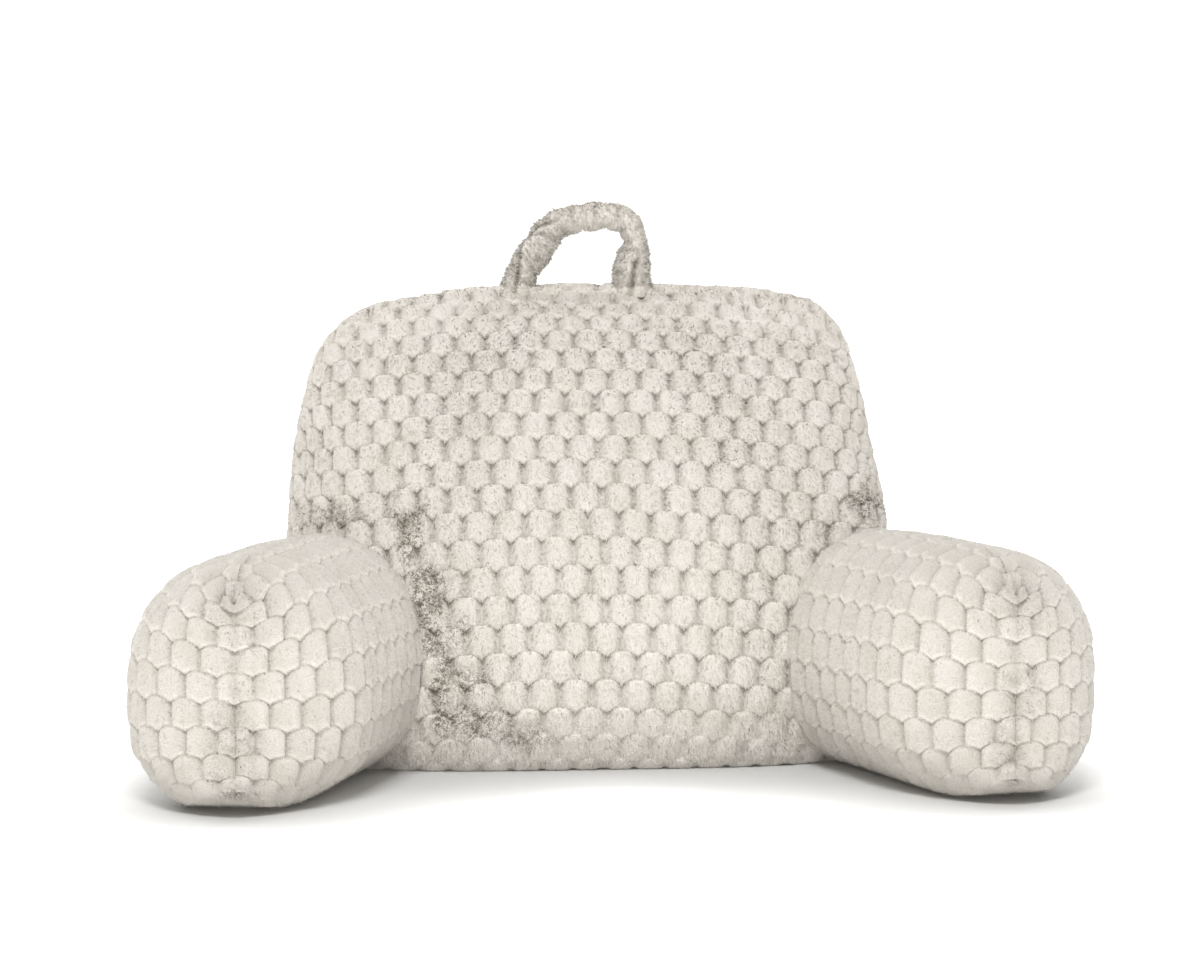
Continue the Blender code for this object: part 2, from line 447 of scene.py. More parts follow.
def sampled(values, rowPlace, columnPlace):
    # Catmull-Rom both ways over a coarse grid that closes round its girth, read at fractional places
    i = np.clip(np.floor(rowPlace).astype(int), 0, len(values) - 2)
    j = np.floor(columnPlace).astype(int)

    def weights(f):
        outer = (-f + 2 * f**2 - f**3, f**3 - f**2)
        inner = (2 - 5 * f**2 + 3 * f**3, f + 4 * f**2 - 3 * f**3)
        return 0.5 * np.stack([outer[0], *inner, outer[1]])

    downward, across = weights(rowPlace - i), weights(columnPlace - j)
    nearby = (j[..., None] + np.arange(-1, 3)) % values.shape[1]
    total = 0
    for k in range(4):
        row = values[np.clip(i + k - 1, 0, len(values) - 1)[..., None], nearby]
        total = total + downward[k][..., None] * np.sum(row * np.moveaxis(across, 0, -1)[..., None], axis=-2)
    return total


def filledBacking(surface, along, around, pinned, shape):
    # The cushion's backing on the fine grid: the plain surface, plus the swell found on a coarse grid.
    coarse = shape["coarse"]
    coarseAlong = np.linspace(along.min(), along.max(), coarse[0])[:, None]
    turns = np.linspace(around.min(), around.max(), coarse[1] + 1)[None, :-1]
    moved = swollen(surface(coarseAlong, turns), pinned(coarseAlong, turns), shape["pressure"])
    rowPlace = (along - along.min()) / np.ptp(along) * (coarse[0] - 1)
    columnPlace = (around - around.min()) / np.ptp(around) * coarse[1]
    return surface(along, around) + sampled(moved, rowPlace, columnPlace)


def tufts(name, grid, count, seed, lean, length, ribs, keep):
    # The pile's tips: thin three-sided tufts with their roots at random places where keep allows, as many in
    # each square millimetre everywhere. Each leans along its surface's normal, down the nap and a little at
    # random, and is shaded with nearly the surface's own normal, so that together they look like one soft
    # face. Their shade rises and falls with the knit's ribs, which run across (1) or up (0) the cloth.
    rng = np.random.default_rng(seed)
    points, normals = grid["points"], grid["normals"]
    keys = ("s", "t", "paintedShade", "ruffle", "messy", "paintedHighlight")
    s, t, paintedShade, ruffle, rough, paintedHighlight = (grid[key][..., None] for key in keys)
    rows, columns = points.shape[:2]
    wrapped = np.concatenate([points, points[:, :1]], axis=1)
    edgeA = wrapped[1:, :-1] - wrapped[:-1, :-1]
    edgeB = wrapped[:-1, 1:] - wrapped[:-1, :-1]
    share = np.linalg.norm(np.cross(edgeA, edgeB), axis=-1) * keep(points[:-1])
    total = np.cumsum(share.ravel())
    picked = np.searchsorted(total, rng.random(count) * total[-1])
    i, j = picked // columns, picked % columns
    k = (j + 1) % columns
    u, v = rng.random((2, count, 1))

    def blended(values, right=k):
        low = values[i, j] * (1 - u) + values[i, right] * u
        return low * (1 - v) + (values[i + 1, j] * (1 - u) + values[i + 1, right] * u) * v

    root = blended(points)
    normal = unit(blended(normals))
    place = np.column_stack([blended(s, j + 1), blended(t, j + 1)])
    nap = unit(np.cross(normal, np.cross(lean, normal)) + 1e-6)
    messy = blended(rough)
    stray = (0.24 + 0.7 * messy) * rng.normal(size=(count, 3))
    direction = unit(0.55 * normal + 0.83 * nap * (1 - messy) + stray)
    width = unit(np.cross(direction, normal))
    size = 0.7 + 0.6 * rng.random((count, 1))
    root = root - normal * plush["pileSink"]
    half = width * plush["pileWidth"] * size / 2
    tip = root + direction * length * size
    corners = np.stack([root - half, root + half, tip], axis=1)
    corners[..., 2] = np.maximum(corners[..., 2], plush["ground"] + 0.0001)
    spot = bakeSpot((j[:, None] + u) / columns, (i[:, None] + v) / (rows - 1))
    shift = np.array([[-0.0005, 0], [0.0005, 0], [0, 0.001]])  # a tuft's own small triangle of the bake map
    maps = {"fabric": np.repeat(place, 3, axis=0), "OFBake": (spot[:, None, :] + shift[None]).reshape(-1, 2)}
    waver = 0.0006 * softNoise(*(place.T / 0.006), 57)
    rib = np.sin(2 * math.pi / plush["ribPitch"] * (place[:, ribs] + waver))
    # random speckle, the knit's ribs, and the painted highlight along the tile edges
    speckleAndHighlight = rng.random(count) * 0.5 + 0.05 + 0.28 * rib + 0.9 * blended(paintedHighlight)[:, 0]
    values = {
        "paintedShade": np.repeat(blended(paintedShade)[:, 0], 3),
        "ruffle": np.repeat(blended(ruffle)[:, 0], 3),
        "speckleAndHighlight": np.repeat(speckleAndHighlight, 3) + np.tile([0.0, 0.0, 0.3], count),  # brightest at the tip
    }
    made = meshPiece(name, corners.reshape(-1, 3), np.arange(count * 3), np.full(count, 3), maps, values, plushPile)
    turned = rng.normal(size=(count, 3)) * (0.28 + 0.5 * messy)
    facing = unit(np.repeat(normal + turned, 3, axis=0))
    made.data.normals_split_custom_set_from_vertices(facing.astype(np.float32))
    return made


# ---- materials
def plushMaterial(name, bumpy):
    # Carved faux-fur plush: long polyester pile sheared into tiles. It is matt and gently mottled; painted
    # highlights brighten the tile edges and the tufts' tips are lighter, while painted shade darkens and warms it
    # down in the grooves, pits and creases and in dark spots where the pile is tangled.
    material = bpy.data.materials.new(name)
    material.use_nodes = True
    tree = material.node_tree
    shader = tree.nodes["Principled BSDF"]
    fabric = addNode(tree, "ShaderNodeUVMap", {"uv_map": "fabric"})
    paintedShade = addNode(tree, "ShaderNodeAttribute", {"attribute_name": "paintedShade"})
    mottle = addNode(tree, "ShaderNodeTexNoise", {"noise_dimensions": "2D"}, {
        "Vector": fabric.outputs["UV"], "Scale": perMetre(38), "Detail": 3.0, "Roughness": 0.55})
    grain = addNode(tree, "ShaderNodeTexNoise", {"noise_dimensions": "2D"}, {
        "Vector": fabric.outputs["UV"], "Scale": perMetre(1.7), "Detail": 2.0, "Roughness": 0.6})
    mottled = addNode(tree, "ShaderNodeMapRange", None, {
        "Value": mottle.outputs["Fac"], "From Min": 0.38, "From Max": 0.66, "To Min": 0.0, "To Max": 0.55})
    pile = addNode(tree, "ShaderNodeMix", {"data_type": "RGBA"}, {
        "Factor": mottled.outputs["Result"], "A": linearColour(colours["pile"]),
        "B": linearColour(colours["pileWarm"])})
    speckleAndHighlight = addNode(tree, "ShaderNodeAttribute", {"attribute_name": "speckleAndHighlight"})
    grainAndHighlight = addNode(tree, "ShaderNodeMath", {"operation": "MULTIPLY_ADD"}, {
        0: speckleAndHighlight.outputs["Fac"], 1: 0.5, 2: grain.outputs["Fac"]})
    # brightness from grain, speckle and the painted highlight along the tile edges
    brightnessWithHighlight = addNode(tree, "ShaderNodeMapRange", None, {
        "Value": grainAndHighlight.outputs["Value"], "From Min": 0.35, "From Max": 1.25, "To Min": 0.80, "To Max": 1.16})
    ruffle = addNode(tree, "ShaderNodeAttribute", {"attribute_name": "ruffle"})
    tangle = addNode(tree, "ShaderNodeTexNoise", {"noise_dimensions": "2D"}, {
        "Vector": fabric.outputs["UV"], "Scale": perMetre(3.2), "Detail": 3.0, "Roughness": 0.7,
        "Distortion": 1.0})
    # dark spots of painted shade in the tangled pile
    tangleShadeSpots = addNode(tree, "ShaderNodeMapRange", None, {
        "Value": tangle.outputs["Fac"], "From Min": 0.47, "From Max": 0.58, "To Min": 0.0, "To Max": 1.0})
    # painted shade: grooves, pits and creases from the attribute, and dark tangle spots where the pile is ruffled
    deep = addNode(tree, "ShaderNodeMath", {"operation": "MULTIPLY_ADD", "use_clamp": True}, {
        0: ruffle.outputs["Fac"], 1: tangleShadeSpots.outputs["Result"], 2: paintedShade.outputs["Fac"]})
    shaded = addNode(tree, "ShaderNodeMix", {"data_type": "RGBA"}, {
        "Factor": deep.outputs["Value"], "A": pile.outputs["Result"], "B": linearColour(colours["grooveShade"])})
    final = addNode(tree, "ShaderNodeVectorMath", {"operation": "SCALE"}, {
        0: shaded.outputs["Result"], "Scale": brightnessWithHighlight.outputs["Result"]})
    tree.links.new(final.outputs["Vector"], shader.inputs["Base Color"])
    shader.inputs["Roughness"].default_value = 0.9
    shader.inputs["Specular IOR Level"].default_value = 0.25
    shader.inputs["Sheen Weight"].default_value = 0.35
    shader.inputs["Sheen Roughness"].default_value = 0.45
    shader.inputs["Sheen Tint"].default_value = linearColour("FFFBF4")
    if bumpy:
        bump = addNode(tree, "ShaderNodeBump", None, {
            "Height": grain.outputs["Fac"], "Strength": 0.7, "Distance": 0.0012})
        tree.links.new(bump.outputs["Normal"], shader.inputs["Normal"])
    return material


plushCover = plushMaterial("carved faux-fur plush", True)
plushPile = plushMaterial("sheared plush pile tips", False)


def fasten(piece, node=None):
    # on the pillow's only body; a cover also stands for its plain cushion
    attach(piece, "root")
    if node:
        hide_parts(node)


# ---- the back cushion
# Rows are level sections from the base up: height, reach to the left and right, how far the front lies ahead
# of the rear face, how far the rear face is drawn in, and the outline's squareness (2 is an ellipse).
back = {
    "sections": np.array([
        [0.000, 0.482, 0.468, 0.920, 0.050, 3.6],
        [0.030, 0.507, 0.493, 0.960, 0.022, 3.4],
        [0.100, 0.520, 0.508, 0.990, 0.006, 3.2],
        [0.210, 0.524, 0.516, 1.000, 0.000, 3.1],
        [0.370, 0.522, 0.518, 0.972, 0.000, 3.1],
        [0.520, 0.516, 0.512, 0.895, 0.003, 3.1],
        [0.650, 0.506, 0.498, 0.775, 0.010, 3.0],
        [0.750, 0.500, 0.490, 0.660, 0.020, 3.0],
        [0.830, 0.485, 0.480, 0.548, 0.032, 2.9],
        [0.890, 0.456, 0.468, 0.448, 0.050, 2.8],
        [0.940, 0.404, 0.440, 0.352, 0.075, 2.7],
        [0.975, 0.300, 0.388, 0.268, 0.108, 2.4],
        [0.995, 0.150, 0.190, 0.222, 0.145, 2.2],
        [1.000, 0.070, 0.085, 0.205, 0.165, 2.0],
    ]),
    "width": 0.502,  # what the left and right columns are shares of
    "fineReach": 0.335,  # how far from the middle of the front the grid lines are close together
    "trueReach": 0.30,  # and how far they keep their real distances
    "sideRound": 0.0060,  # width of the slope beside an upright groove
    "lean": 0.0,  # how far the nap lies sideways
    # painted shade in the upright grooves and at their heads
    "paintedGrooveShade": 0.17,
    "paintedPitShade": 0.75,  # how dark the painted shade at the heads of the grooves is
    "pileLength": 0.0042,
    "rowDroop": 0.31,  # how much the rows of tiles fall to the sides: metres per square metre
    "rowApex": -0.028,  # where they stand highest
    "droopReach": (-0.25, 0.28),  # and how far to either side of there they go on falling
    "ruffles": np.array([  # pile crushed the wrong way: x, z, half width, half height, strength
        [-0.160, 0.195, 0.018, 0.032, 1.0],
        [-0.143, 0.135, 0.015, 0.042, 1.0],
        [-0.132, 0.070, 0.011, 0.045, 1.0],
        [-0.118, 0.120, 0.018, 0.016, 0.6],
        [-0.114, 0.078, 0.020, 0.020, 0.7],
        [-0.100, 0.045, 0.034, 0.022, 0.8],
        [-0.066, 0.030, 0.028, 0.018, 0.6],
        [-0.222, 0.205, 0.032, 0.011, 0.6],
        [0.220, 0.212, 0.022, 0.018, 0.9],
        [0.190, 0.190, 0.016, 0.016, 0.5],
    ]),
    "coarse": (36, 96),  # points along and round the grid that is blown up
    "pressure": 3.0,
}
backLow, backHigh = (np.array(corner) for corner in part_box("back_cushion"))
backHeight, backRear = backHigh[2], backHigh[1]
backDepth = backHigh[1] - backLow[1]


def backSurface(along, around):
    # level superellipses: x = reach * cos^(2/p), y from front to rear by sin^(2/p), height from the table
    height, left, right, front, rear, power = np.moveaxis(rowsAt(back["sections"], along), -1, 0)
    inset = plush["inset"] * (1 - 0.6 * smoothStep(0.97, 1.0, height))
    across, deep = signedPower(np.cos(around), power), signedPower(np.sin(around), power)
    frontY = backRear - front * backDepth + inset
    rearY = np.maximum(backRear - rear * backDepth - inset, frontY + 0.004)
    x = across * np.maximum(np.where(across > 0, right, left) * back["width"] - inset, 0.004)
    y = (frontY + rearY) / 2 + deep * (rearY - frontY) / 2
    z = np.broadcast_to(0.002 + height * (backHeight - 0.002 - plush["inset"]), x.shape)
    return np.stack([x, y, z], axis=-1)


def makeBack():
    # Grid lines follow the tiles: across the cloth by distance round each level section from the middle of the
    # front, up it by distance up the middle of the front, with rows that fall away to the sides.
    steps, halfTurn = 400, 800
    fineAlong = np.linspace(0, len(back["sections"]) - 1, steps)
    turns = np.linspace(0.5 * math.pi, 2.5 * math.pi, 2 * halfTurn + 1)
    climb = lengthAlong(backSurface(fineAlong, np.full(steps, 1.5 * math.pi)), 0)
    walked = lengthAlong(backSurface(fineAlong[:, None], turns[None, :]), 1)
    walked = walked - walked[:, halfTurn : halfTurn + 1]
    far = walked[:, -1].max()
    columns = gridColumns(back["fineReach"], far)
    rightSide = reached(columns, back["trueReach"], walked[:, -1])
    leftSide = reached(columns, back["trueReach"], -walked[:, 0])
    sTable = np.concatenate([-leftSide[:, :0:-1], rightSide], axis=1)
    aroundTable = np.stack([np.interp(s, w, turns) for s, w in zip(sTable, walked)])

    def pins(a, r):
        return (a < 0.6) & (r > 0)  # the base

    def droop(across):
        return back["rowDroop"] * np.clip(across - back["rowApex"], *back["droopReach"]) ** 2

    line = np.concatenate([-columns[:0:-1], columns])[None, :]
    places = gridPlaces(0.0, climb[-1])[:, None]
    level = (places - 0.5) * plush["rowPitch"]
    fade = smoothStep(0.0, 0.05, level) * smoothStep(climb[-1], climb[-1] - 0.08, level)
    wanted = level + (gridLine(places, line) - level - droop(line)) * fade
    along = np.interp(wanted, climb, fineAlong)
    at = along / fineAlong[-1] * (steps - 1)
    s, around = columnsAt(sTable, at), columnsAt(aroundTable, at)
    t = wanted + droop(s)
    backing = filledBacking(backSurface, along[:, :-1], around[:, :-1], pins, back)
    a, b = s[:, :-1], t[:, :-1]
    backing = strayed(backing, s, t, fade[:, :1] + 0 * a)
    centre = np.array([0.0, backRear - 0.3 * backDepth, 0.0]) + backing * [0, 0, 0.75]
    normals = gridNormals(backing, centre)
    x, y, z = np.moveaxis(backing, -1, 0)
    crushed = 1 - 0.55 * smoothStep(0.066, 0.024, z + 0.010 * softNoise(x / 0.04, y / 0.04, 11))
    rearSeam = smoothStep(0.0, 0.010, far - np.abs(line[:, :-1]) + 0 * a)
    row = tileRow(a, b)
    patches = 0.5 + 0.3 * softNoise((a + 0.7 * b) / 0.018, (b - 0.7 * a) / 0.018, 13)
    patches = patches + 0.5 * (scramble(tileColumn(a, row), row, 15) - 0.5)
    ruffled = 0.25 * armNearness(backing) * patches
    for placeX, placeZ, wide, tall, strength in back["ruffles"]:
        nearness = 1 - np.hypot((x - placeX) / wide, (z - placeZ) / tall) + 1.2 * (patches - 0.5)
        ruffled = np.maximum(ruffled, strength * smoothStep(0.0, 0.6, nearness))
    ruffled = ruffled * (y < backRear - 0.5 * backDepth + 0.05)
    fold = crumpled(a, b, (0.007, 0.0035), (0.006, 0.0035), 17)
    tiles = tilePile(a, b, back)
    height = tiles * crushed * (1 - 0.25 * ruffled) * (0.3 + 0.7 * rearSeam) + ruffled * fold * 0.35
    points = backing + normals * (height * plush["depth"])[..., None]
    points[..., 2] = np.maximum(points[..., 2], plush["ground"])
    # painted shade in the grooves, the pits and the near-side shadow, and in the folds of the ruffled pile
    paintedShade = paintedGrooveShade(a, b, crushed, back) + ruffled * np.clip(0.08 - 0.5 * fold, 0, 1)
    # painted highlight along the tile edges
    paintedHighlight = paintedEdgeHighlight(a, b, back) * (1 - ruffled) * crushed**2
    return {"points": points, "normals": gridNormals(points, centre), "s": s, "t": t,
            "paintedShade": np.clip(paintedShade, 0, 1), "ruffle": ruffled, "messy": 0.8 * ruffled, "paintedHighlight": paintedHighlight}


# ---- the arms
# Rows are upright sections of the right arm from its rear end to where the rounded end begins: x and y of
# the middle, degrees that the arm points out to the side, and shares of its thickness and height.
arm = {
    "sections": np.array([
        [0.160, 0.140, 14.0, 0.80, 0.90],
        [0.208, 0.050, 16.0, 0.94, 0.97],
        [0.247, -0.045, 18.0, 1.00, 1.00],
        [0.276, -0.130, 20.0, 1.00, 1.00],
    ]),
    "thickness": 0.192,
    "endRound": 0.105,  # length of the rounded end
    "endTurn": 4.0,  # degrees that the end itself points out
    "topPower": 2.25,  # the outlines' squareness: above, below on the inner side and below on the outer side
    "innerPower": 2.2,
    "outerPower": 3.1,
    "outerFullness": (0.20, 0.12),  # how much further the left and right ends reach on their outer sides
    "rowStretch": 1.16,  # how much taller the rows of tiles are than on the back
    "endDrop": 0.024,  # how far the end's top falls
    "endLift": 0.022,  # and how far its underside rises
    "fineReach": 0.30,
    "trueReach": 0.28,
    "sideRound": 0.0070,
    "lean": 1.0,
    # painted shade in the grooves, at their heads, and over the whole arm
    "paintedGrooveShade": 0.04,
    "paintedPitShade": 0.33,
    "paintedNapShade": 0.10,  # painted shade over the whole arm, for the darker look of pile whose nap lies away from the front
    "depth": 0.0068,
    "pileLength": 0.0030,
    "coarse": (34, 64),
    "pressure": 3.0,
}
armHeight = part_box("arm_right")[1][2]


def armSurface(along, around, side):
    # upright superellipses square to the arm; past the last row the thickness follows a quarter ellipse
    rows = len(arm["sections"]) - 1
    end = np.clip(along - rows, 0, 1) * math.pi / 2
    x, y, turn, thick, top = np.moveaxis(rowsAt(arm["sections"], np.minimum(along, rows)), -1, 0)
    reach = np.sin(end)
    turn = turn + (arm["endTurn"] - turn) * reach
    heading = np.radians(np.where(along > rows, (arm["sections"][-1, 2] + turn) / 2, turn))
    ahead = reach * (arm["endRound"] - plush["inset"] * 0.9)
    half = thick * arm["thickness"] / 2 * np.cos(end) - plush["inset"] * np.cos(end) ** 0.5
    x, y = x + np.sin(heading) * ahead, y - np.cos(heading) * ahead
    topZ = top * armHeight - arm["endDrop"] * reach**3 - plush["inset"]
    lift = 0.002 + arm["endLift"] * reach**3
    bottom = lift - 0.005
    across, up = np.cos(around), np.sin(around)
    power = np.where(up > 0, arm["topPower"], np.where(across > 0, arm["outerPower"], arm["innerPower"]))
    fuller = 1 + arm["outerFullness"][side > 0] * np.sin(2 * end) * (across > 0)
    out = signedPower(across, power) * np.maximum(half, 0.00005) * fuller
    z = np.maximum((topZ + bottom) / 2 + signedPower(up, power) * (topZ - bottom) / 2, lift)
    turned = np.radians(turn)
    return np.stack([side * (x + out * np.cos(turned)), y + out * np.sin(turned), z], axis=-1)


def armNearness(points):
    # 1 beside an arm's inner face, falling to 0 some 60 mm away
    rows = rowsAt(arm["sections"], np.linspace(0, 3, 40))
    heading = np.radians(rows[:, 2])
    inner = np.column_stack([rows[:, 0] - arm["thickness"] / 2 * np.cos(heading), rows[:, 1]])
    away = np.interp(-points[..., 1], -inner[:, 1], inner[:, 0])
    gap = away - np.abs(points[..., 0])
    return smoothStep(0.075, 0.012, gap) * smoothStep(-0.06, -0.01, gap)


def makeArm(side):
    # Grid lines follow the tiles: rows by distance down either side from the arm's crest, columns by distance
    # back from the seam up the middle of its front end.
    rows, halfTurn, stretch = len(arm["sections"]) - 1, 360, arm["rowStretch"]

    def surface(a, r):
        return armSurface(a, r, side)

    def pins(a, r):
        return (a > rows + 0.93) | (np.sin(r) < -0.97) | (a < 0.5)  # the front seam, the underside and the rear

    fineAlong = np.linspace(rows + 1, 0.35, 500)
    turns = np.linspace(-0.5 * math.pi, 1.5 * math.pi, 2 * halfTurn + 1)
    girth = lengthAlong(surface(np.full(len(turns), rows - 0.5), turns), 0)
    crest = girth[halfTurn]
    walked = lengthAlong(surface(fineAlong[:, None], turns[None, :]), 0).T
    columns = gridColumns(arm["fineReach"], walked[:, -1].max())
    sTable = reached(columns, arm["trueReach"], walked[:, -1])
    alongTable = np.stack([np.interp(s, w, fineAlong) for s, w in zip(sTable, walked)])
    places = [gridPlaces(-depth / stretch, 0.0) for depth in (crest, girth[-1] - crest)]
    sign = np.concatenate([np.full(len(places[0]), 1), np.full(len(places[1]) - 1, -1)])[:, None]
    places = np.concatenate([places[0], places[1][-2::-1]])[:, None]
    level = (places - 0.5) * plush["rowPitch"]
    lowest = np.where(sign > 0, -crest, crest - girth[-1]) / stretch
    fade = smoothStep(0.0, -0.006, level) * smoothStep(lowest, lowest + 0.02, level)
    t = level + (gridLine(places, columns[None, :]) - level) * fade
    around = np.interp(crest + sign * t * stretch, girth, turns)
    at = (around - turns[0]) / (turns[-1] - turns[0]) * 2 * halfTurn
    s, along = columnsAt(sTable, at) * sign, columnsAt(alongTable, at)
    s, t, along, around = (grid.T for grid in (s, t, along, around))
    backing = filledBacking(surface, along[:, :-1], around[:, :-1], pins, arm)
    a, b = s[:, :-1], t[:, :-1]
    fromSeam = np.abs(a)
    backing = strayed(backing, s, t, smoothStep(0.0, 0.02, fromSeam))
    heading = math.radians(arm["endTurn"])
    ahead = np.array([side * math.sin(heading), -math.cos(heading), 0.0])
    nose = smoothStep(0.008, 0.0, fromSeam)[..., None]
    normals = unit(gridNormals(backing, backing.mean(axis=1, keepdims=True)) * (1 - nose) + ahead * nose)
    x, y, z = np.moveaxis(backing, -1, 0)
    crushed = 1 - 0.75 * smoothStep(0.042, 0.014, z + 0.008 * softNoise(x / 0.03, y / 0.03, 31))
    seam = np.exp(-((fromSeam / 0.0036) ** 2)) * smoothStep(0.0, 0.03, z)
    mixed = smoothStep(-0.5, 0.5, softNoise(z / 0.02, a / 0.02, 33 + side))
    ruffled = smoothStep(0.030, 0.008, fromSeam) * mixed
    ruffled = np.maximum(ruffled, 0.7 * smoothStep(0.045, 0.01, fromSeam) * smoothStep(0.12, 0.16, z))
    fold = crumpled(a, b, (0.007, 0.0035), (0.006, 0.0033), 37)
    tiles = tilePile(a, b, arm)
    lumps = smoothStep(0.0, 0.7, softNoise(z / 0.011, 0 * a, 41 + side))
    lumps = lumps * np.exp(-(((a + 0.007) / 0.006) ** 2)) * smoothStep(0.02, 0.04, z)
    height = tiles * crushed * (1 - 0.3 * ruffled) + ruffled * fold * 0.5 + 0.55 * lumps
    points = backing + normals * (height * arm["depth"])[..., None]
    points[..., 2] = np.maximum(points[..., 2], plush["ground"])
    # painted shade: the arm's overall nap shade, plus the grooves and pits
    paintedShade = arm["paintedNapShade"] + paintedGrooveShade(a, b, crushed, arm)
    # painted shade in the folds of the ruffled pile and along the seam
    paintedShade = paintedShade + ruffled * np.clip(0.02 - 0.3 * fold, 0, 1) + 0.10 * seam * (1 - lumps)
    messy = np.maximum(np.maximum(0.6 * ruffled, lumps), smoothStep(0.006, 0.002, fromSeam))
    # painted highlight along the tile edges
    paintedHighlight = 1.2 * paintedEdgeHighlight(a, b, arm) * (1 - 0.6 * ruffled) * crushed**2
    return {"points": points, "normals": gridNormals(points, points.mean(axis=1, keepdims=True)), "s": s,
            "t": t * stretch, "paintedShade": np.clip(paintedShade, 0, 1), "ruffle": 0.20 * ruffled, "messy": messy, "paintedHighlight": paintedHighlight}


# ---- the carry loop
# Rows follow the strap over the top of the back: x, height over the top, share of its size, twist in degrees.
strap = {
    "route": np.array([
        [-0.060, -0.024, 1.25, 0.0],
        [-0.050, 0.002, 1.15, 15.0],
        [-0.038, 0.020, 0.95, 70.0],
        [-0.023, 0.039, 1.00, 30.0],
        [0.002, 0.046, 1.05, 0.0],
        [0.025, 0.047, 1.00, 0.0],
        [0.040, 0.041, 0.95, 0.0],
        [0.046, 0.022, 0.95, 0.0],
        [0.043, 0.004, 1.38, 0.0],
        [0.043, -0.024, 1.45, 0.0],
    ]),
    "thickness": 0.023,
    "width": 0.032,
    "inset": 0.0034,
    "depth": 0.0030,
    "pileLength": 0.0044,
    "spacing": 0.0013,  # of its grid lines
    "girth": 0.088,
}
strapY = sum(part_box("handle")[k][1] for k in (0, 1)) / 2


def strapSurface(along, around):
    # ellipses square to the route, turned by the twist
    route = strap["route"]
    x, rise, size, twist = np.moveaxis(rowsAt(route, along), -1, 0)
    ahead = unit(rowsAt(route, along + 0.01)[..., :2] - rowsAt(route, along - 0.01)[..., :2])
    turn = np.radians(twist)
    thick = np.cos(around) * (size * strap["thickness"] / 2 - strap["inset"])
    wide = np.sin(around) * (size * strap["width"] / 2 - strap["inset"])
    radial = thick * np.cos(turn) - wide * np.sin(turn)
    deep = thick * np.sin(turn) + wide * np.cos(turn)
    z = backHeight + rise + ahead[..., 0] * radial
    return np.stack([x - ahead[..., 1] * radial, strapY + deep, z], axis=-1)


def makeStrap():
    # an even grid along and round the strap, with smaller tiles, folds, and a crease down either leg
    fineAlong = np.linspace(0.0, len(strap["route"]) - 1, 800)
    walked = lengthAlong(strapSurface(fineAlong[:, None], np.array([[0.0, math.pi]])), 0).mean(axis=1)
    along = np.interp(np.arange(0, walked[-1], strap["spacing"]), walked, fineAlong)[:, None]
    around = np.linspace(0.5 * math.pi, 2.5 * math.pi, int(strap["girth"] / strap["spacing"]) + 1)[None, :]
    backing = strapSurface(along, around)
    s = lengthAlong(backing, 1)
    t = np.broadcast_to(lengthAlong(backing, 0).mean(axis=1, keepdims=True), s.shape)
    backing = backing[:, :-1]
    normals = gridNormals(backing, backing.mean(axis=1, keepdims=True))
    a, b = s[:, :-1], t[:, :-1]
    tiles = tilePile(b * 1.3 + 0.004, a * 1.3, back)
    fold = crumpled(a, b, (0.0055, 0.0028), (0.0045, 0.0028), 51)
    place = along / (len(strap["route"]) - 1)
    creaseAt = 1.5 * math.pi + 0.25 * np.sin(b / 0.02)
    crease = np.exp(-(((around[:, :-1] - creaseAt) / 0.22) ** 2))
    crease = crease * (smoothStep(0.40, 0.28, place) + smoothStep(0.80, 0.88, place))
    height = 0.25 + 0.75 * tiles + 0.30 * fold - 0.9 * crease
    points = backing + normals * (height * strap["depth"])[..., None]
    # painted shade down between the tiles and in the creases
    paintedShade = np.clip((0.45 - tiles) * 0.4 + 0.9 * crease, 0, 1)
    # where the dark tangle spots of painted shade show, and where the tufts lie messily
    ruffled = 0.04 + 0.36 * (smoothStep(0.42, 0.30, place) + 0.5 * smoothStep(0.70, 0.82, place)) + 0 * a
    return {"points": points, "normals": gridNormals(points, points.mean(axis=1, keepdims=True)), "s": s, "t": t,
            "paintedShade": paintedShade, "ruffle": ruffled, "messy": ruffled, "paintedHighlight": 0 * paintedShade}


def coverPiece(name, grid):
    # the grid as one closed piece, with its painted shade, ruffle and painted highlight as values per point
    points = grid["points"]
    corners, sizes = closedGrid(points)
    maps = cornerMaps(corners, sizes, grid["s"], grid["t"], points.shape[:2])
    values = {"paintedShade": grid["paintedShade"].ravel(), "ruffle": grid["ruffle"].ravel()}
    # the painted highlight along the tile edges, as brightness
    values["speckleAndHighlight"] = 0.4 + 0.8 * grid["paintedHighlight"].ravel()
    return meshPiece(name, points.reshape(-1, 3), corners, sizes, maps, values, plushCover)


density = 1.0
counts = {"front": int(190000 * density), "rear": int(110000 * density), "arm": int(125000 * density),
          "strap": int(26000 * density)}
upCloth, acrossCloth = 0, 1  # the two ways that the ribs can run
downward = np.array([0.0, 0.0, -1.0])

backGrid = makeBack()
fasten(coverPiece("back_cover", backGrid), "back_cushion")
rearLine = backRear - 0.42 * backDepth
frontPile = tufts("back_pile_front", backGrid, counts["front"], 61, downward, back["pileLength"], upCloth,
                  lambda p: (p[..., 1] < rearLine) & (p[..., 2] > 0.004))
fasten(frontPile)
rearPile = tufts("back_pile_rear", backGrid, counts["rear"], 62, downward, back["pileLength"], upCloth,
                 lambda p: (p[..., 1] >= rearLine) & (p[..., 2] > 0.004))
fasten(rearPile)
print("back cushion made")

for side, name in ((-1, "arm_left"), (1, "arm_right")):
    armGrid = makeArm(side)
    fasten(coverPiece(name + "_cover", armGrid), name)
    heading = math.radians(arm["sections"][2, 2])
    backward = unit(np.array([-side * math.sin(heading), math.cos(heading), -0.7]))
    armPile = tufts(name + "_pile", armGrid, counts["arm"], 70 + side, backward, arm["pileLength"], acrossCloth,
                    lambda p: p[..., 2] > 0.003)
    fasten(armPile)
print("arms made")

